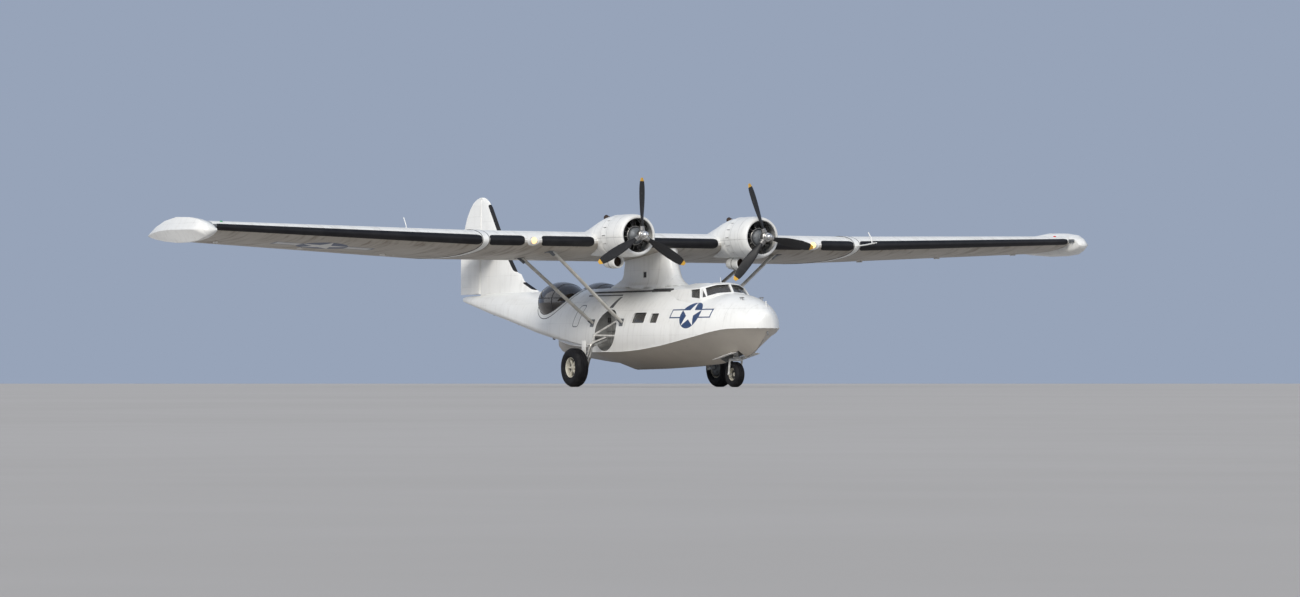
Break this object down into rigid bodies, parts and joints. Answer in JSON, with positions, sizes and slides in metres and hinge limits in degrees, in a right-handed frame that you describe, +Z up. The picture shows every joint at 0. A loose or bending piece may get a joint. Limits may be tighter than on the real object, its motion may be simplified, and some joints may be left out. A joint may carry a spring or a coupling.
{
  "type": "flying boat",
  "caption": "Twin-engined amphibian flying boat with a parasol wing on a pylon, a stepped hull, side blisters, a tall fin and retractable wheels, standing on its gear.",
  "frame": {"origin": "centre of the whole object's bounding box at the floor under the wheels", "axes": "+Z up, bow towards -Y, port side +X, starboard side -X"},
  "size_m": [31.7, 19.46, 6.3],
  "materials": {
    "white_paint": "gloss",
    "light_skin": "gloss",
    "white_fabric": "satin",
    "float_skin": "gloss",
    "strut_paint": "satin",
    "engine_metal": "satin",
    "blade_paint": "satin",
    "exhaust_steel": "matte",
    "tyre": "matte",
    "wheel_paint": "satin",
    "glass": "polished",
    "cabin_panel": "matte",
    "seat_cushion": "satin"
  },
  "bodies": {
    "airframe": {"hull_bow": "white_paint", "hull_centre": "white_paint", "hull_aft": "white_paint", "tail_boom": "white_paint", "cockpit_canopy": "white_paint", "cowl_right": "white_paint", "cowl_left": "white_paint", "nacelle_right": "light_skin", "nacelle_left": "light_skin", "pylon": "light_skin", "oil_cooler_right": "light_skin", "oil_cooler_left": "light_skin", "wing_centre": "white_fabric", "wing_outer_right": "white_fabric", "wing_outer_left": "white_fabric", "fin": "white_fabric", "tailplane_right": "white_fabric", "tailplane_left": "white_fabric", "float_right": "float_skin", "float_left": "float_skin", "strut_front_right": "strut_paint", "strut_front_left": "strut_paint", "strut_rear_right": "strut_paint", "strut_rear_left": "strut_paint", "main_leg_right": "strut_paint", "main_leg_left": "strut_paint", "nose_leg": "strut_paint", "engine_right": "engine_metal", "engine_left": "engine_metal", "exhaust_right": "exhaust_steel", "exhaust_left": "exhaust_steel", "canopy_glazing": "glass", "window_cabin_right": "glass", "window_cabin_left": "glass", "blister_right": "glass", "blister_left": "glass", "cockpit_floor": "cabin_panel", "cabin_floor": "cabin_panel", "waist_floor": "cabin_panel", "instrument_panel": "cabin_panel", "pilot_seat_right": "seat_cushion", "pilot_seat_left": "seat_cushion"},
    "propeller_right": {"propeller_right": "blade_paint"},
    "propeller_left": {"propeller_left": "blade_paint"},
    "main_wheel_right": {"tyre_main_right": "tyre", "wheel_main_right": "wheel_paint"},
    "main_wheel_left": {"tyre_main_left": "tyre", "wheel_main_left": "wheel_paint"},
    "nose_gear": {"nose_fork": "strut_paint"},
    "nose_wheel": {"tyre_nose": "tyre", "wheel_nose": "wheel_paint"},
    "rudder": {"rudder": "white_fabric"},
    "elevators": {"elevator_right": "white_fabric", "elevator_left": "white_fabric"},
    "aileron_right": {"aileron_right": "white_fabric"},
    "aileron_left": {"aileron_left": "white_fabric"}
  },
  "joints": [
    {"name": "propeller_right_spin", "type": "hinge", "parent": "airframe", "child": "propeller_right", "pos_m": [-2.178, -5.99, 4.57], "axis": [0, 1, 0], "continuous": true},
    {"name": "propeller_left_spin", "type": "hinge", "parent": "airframe", "child": "propeller_left", "pos_m": [2.178, -5.99, 4.57], "axis": [0, 1, 0], "continuous": true},
    {"name": "main_wheel_right_spin", "type": "hinge", "parent": "airframe", "child": "main_wheel_right", "pos_m": [-2.59, -2.58, 0.595], "axis": [1, 0, 0], "continuous": true},
    {"name": "main_wheel_left_spin", "type": "hinge", "parent": "airframe", "child": "main_wheel_left", "pos_m": [2.59, -2.58, 0.595], "axis": [1, 0, 0], "continuous": true},
    {"name": "nose_gear_steer", "type": "hinge", "parent": "airframe", "child": "nose_gear", "pos_m": [0, -7.84, 0.96], "axis": [0, 0, 1], "range_deg": [-30, 30]},
    {"name": "nose_wheel_spin", "type": "hinge", "parent": "nose_gear", "child": "nose_wheel", "pos_m": [0, -7.78, 0.38], "axis": [1, 0, 0], "continuous": true},
    {"name": "rudder_hinge", "type": "hinge", "parent": "airframe", "child": "rudder", "pos_m": [0, 8.24, 3.03], "axis": [0, 0, 1], "range_deg": [-20, 20]},
    {"name": "elevator_hinge", "type": "hinge", "parent": "airframe", "child": "elevators", "pos_m": [0, 8.27, 4.34], "axis": [1, 0, 0], "range_deg": [-20, 30]},
    {"name": "aileron_right_hinge", "type": "hinge", "parent": "airframe", "child": "aileron_right", "pos_m": [-8, -0.91307, 4.15889], "axis": [0.9975, 0.0571, -0.0411], "range_deg": [-20, 20]},
    {"name": "aileron_left_hinge", "type": "hinge", "parent": "airframe", "child": "aileron_left", "pos_m": [8, -0.91307, 4.15889], "axis": [0.9975, -0.0571, 0.0411], "range_deg": [-20, 20]}
  ],
  "couplings": [
    {"joint": "aileron_left_hinge", "follows": "aileron_right_hinge", "ratio": -1}
  ]
}
